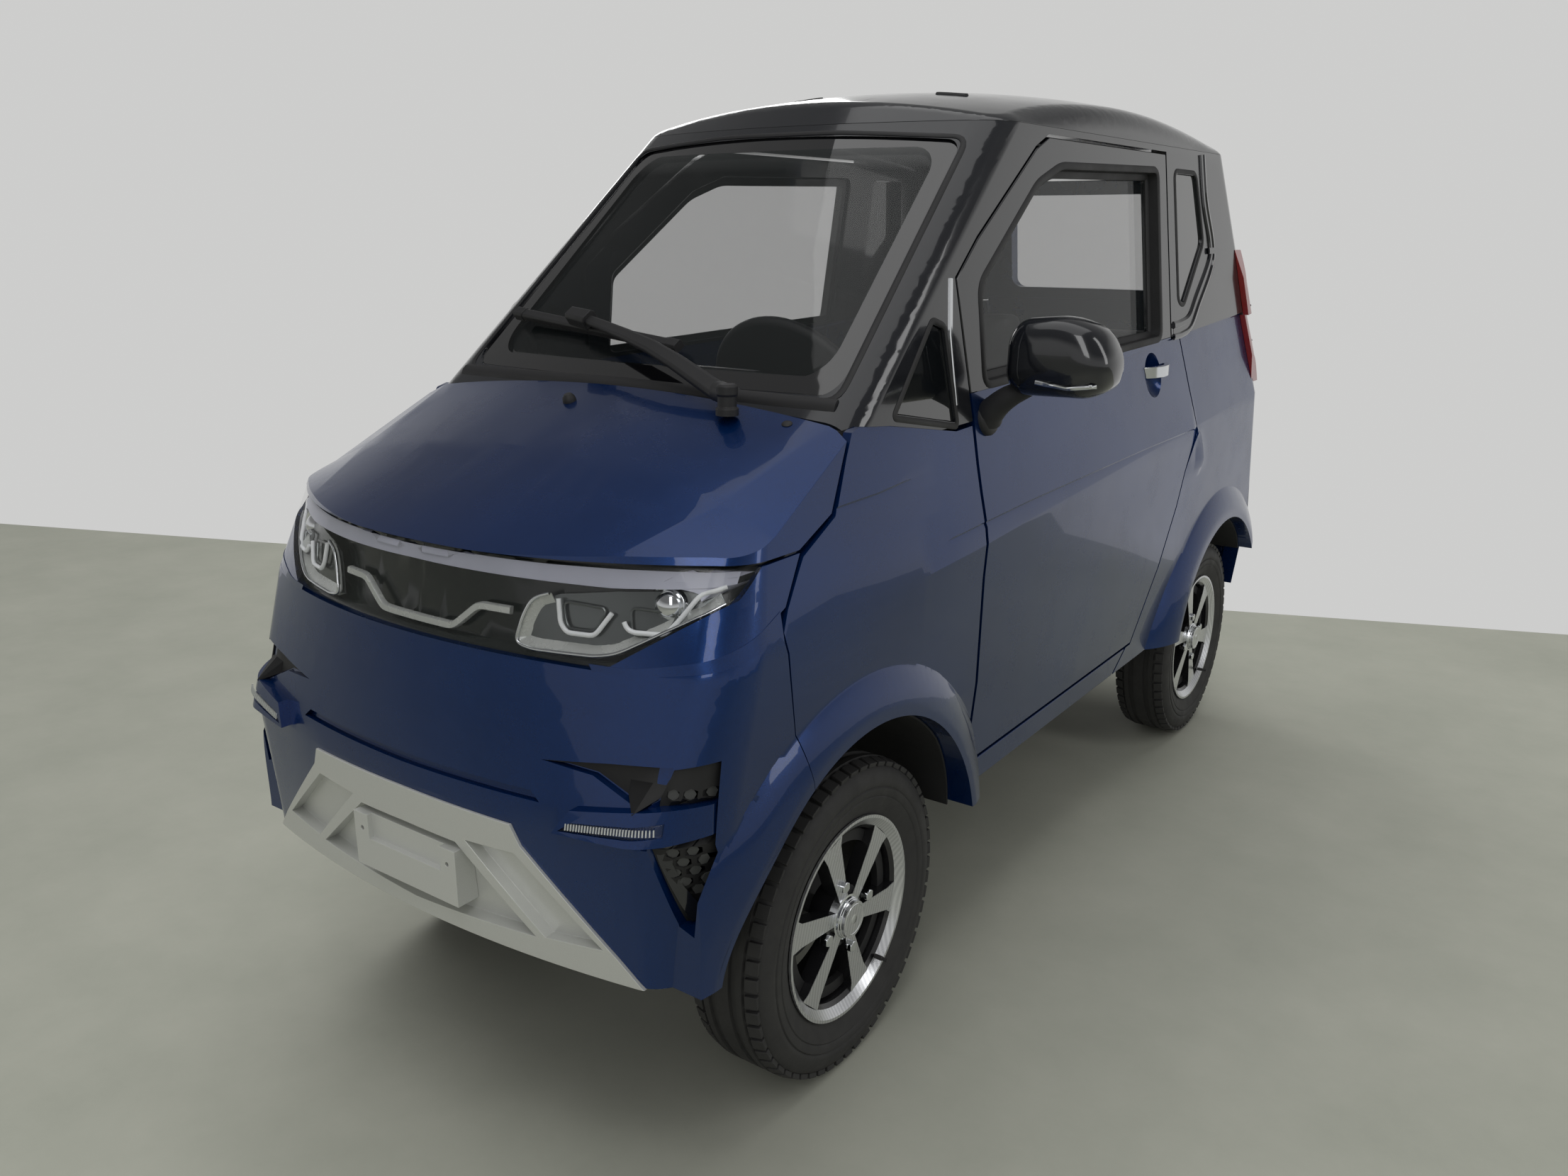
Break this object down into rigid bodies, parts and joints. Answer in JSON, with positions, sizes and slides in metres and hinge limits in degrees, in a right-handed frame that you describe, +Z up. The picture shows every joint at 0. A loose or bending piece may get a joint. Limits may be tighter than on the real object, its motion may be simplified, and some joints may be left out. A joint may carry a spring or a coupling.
{
  "type": "enclosed four-wheel mobility scooter",
  "caption": "Narrow enclosed cabin scooter on road wheels, with hinged doors, lifting rear hatch, steered front wheels, bench seating and full-width front lamp bar.",
  "frame": {"origin": "on the ground under the centre of the bounding box", "axes": "+Z up, nose towards -Y, the vehicle left side towards +X"},
  "size_m": [1.346, 2.5799, 1.5853],
  "materials": {
    "alloy": "machined",
    "blue_paint": "gloss metallic",
    "bright_metal": "polished",
    "cast_metal": "cast",
    "clear_glass": "polished",
    "dark_glass": "polished",
    "dash_plastic": "grained",
    "frame_paint": "satin",
    "gloss_black": "gloss",
    "lamp_inner": "gloss",
    "lamp_lens": "polished",
    "matte_black": "matte",
    "seat_leather": "grained",
    "silver_paint": "satin metallic",
    "tail_lens": "gloss",
    "tyre_rubber": "matte"
  },
  "bodies": {
    "root": {"arch_liners": "matte_black", "battery_block": "matte_black", "bumper_insert": "silver_paint", "bumper_vents": "matte_black", "cabin_frame": "gloss_black", "chassis_frame": "frame_paint", "corner_lamps": "lamp_lens", "dashboard": "dash_plastic", "floor_pan": "frame_paint", "front_bumper": "blue_paint", "front_fenders": "blue_paint", "front_quarter_glass": "dark_glass", "front_seat": "seat_leather", "front_suspension": "frame_paint", "hood": "blue_paint", "lamp_housing": "lamp_inner", "lamp_lens": "lamp_lens", "plate_bracket": "silver_paint", "rear_axle": "cast_metal", "rear_bumper": "blue_paint", "rear_quarter_glass": "dark_glass", "rear_quarters": "blue_paint", "rear_seat": "seat_leather", "rear_springs": "frame_paint", "roof_panel": "gloss_black", "seat_base": "matte_black", "sills": "blue_paint", "steering_column": "dash_plastic", "tail_lamps": "tail_lens", "windshield": "clear_glass", "wiper": "matte_black"},
    "door_left": {"door_panel_left": "blue_paint", "door_glass_left": "clear_glass", "door_handle_left": "bright_metal", "mirror_left": "gloss_black"},
    "knuckle_left": {"knuckle_left": "cast_metal"},
    "door_right": {"door_panel_right": "blue_paint", "door_glass_right": "clear_glass", "door_handle_right": "bright_metal", "mirror_right": "gloss_black"},
    "knuckle_right": {"knuckle_right": "cast_metal"},
    "wheel_front_left": {"tyre_front_left": "tyre_rubber", "rim_front_left": "alloy"},
    "wheel_front_right": {"tyre_front_right": "tyre_rubber", "rim_front_right": "alloy"},
    "wheel_rear_left": {"tyre_rear_left": "tyre_rubber", "rim_rear_left": "alloy"},
    "wheel_rear_right": {"tyre_rear_right": "tyre_rubber", "rim_rear_right": "alloy"},
    "hatch": {"hatch_panel": "blue_paint", "hatch_glass": "clear_glass"},
    "steering_wheel": {"steering_wheel": "dash_plastic"}
  },
  "joints": [
    {"name": "door_left_hinge", "type": "hinge", "parent": "root", "child": "door_left", "pos_m": [0.49, -0.464, 0.75], "axis": [0, 0, -1], "range_deg": [0, 65]},
    {"name": "door_right_hinge", "type": "hinge", "parent": "root", "child": "door_right", "pos_m": [-0.49, -0.464, 0.75], "axis": [0, 0, 1], "range_deg": [0, 65]},
    {"name": "hatch_hinge", "type": "hinge", "parent": "root", "child": "hatch", "pos_m": [0, 1.072, 1.447], "axis": [1, 0, 0], "range_deg": [0, 75]},
    {"name": "steer_left", "type": "hinge", "parent": "root", "child": "knuckle_left", "pos_m": [0.308, -0.8, 0.26], "axis": [0, 0, 1], "range_deg": [-28, 28]},
    {"name": "steer_right", "type": "hinge", "parent": "root", "child": "knuckle_right", "pos_m": [-0.308, -0.8, 0.26], "axis": [0, 0, 1], "range_deg": [-28, 28]},
    {"name": "steering_wheel_turn", "type": "hinge", "parent": "root", "child": "steering_wheel", "pos_m": [0, -0.32, 0.994], "axis": [0, 0.9008, 0.4341], "range_deg": [-280, 280]},
    {"name": "wheel_front_left_spin", "type": "hinge", "parent": "knuckle_left", "child": "wheel_front_left", "pos_m": [0.3945, -0.8, 0.26], "axis": [1, 0, 0], "continuous": true},
    {"name": "wheel_front_right_spin", "type": "hinge", "parent": "knuckle_right", "child": "wheel_front_right", "pos_m": [-0.3945, -0.8, 0.26], "axis": [1, 0, 0], "continuous": true},
    {"name": "wheel_rear_left_spin", "type": "hinge", "parent": "root", "child": "wheel_rear_left", "pos_m": [0.3945, 0.917, 0.26], "axis": [1, 0, 0], "continuous": true},
    {"name": "wheel_rear_right_spin", "type": "hinge", "parent": "root", "child": "wheel_rear_right", "pos_m": [-0.3945, 0.917, 0.26], "axis": [1, 0, 0], "continuous": true}
  ],
  "couplings": [
    {"joint": "steer_right", "follows": "steer_left", "ratio": 1},
    {"joint": "steering_wheel_turn", "follows": "steer_left", "ratio": 10}
  ]
}
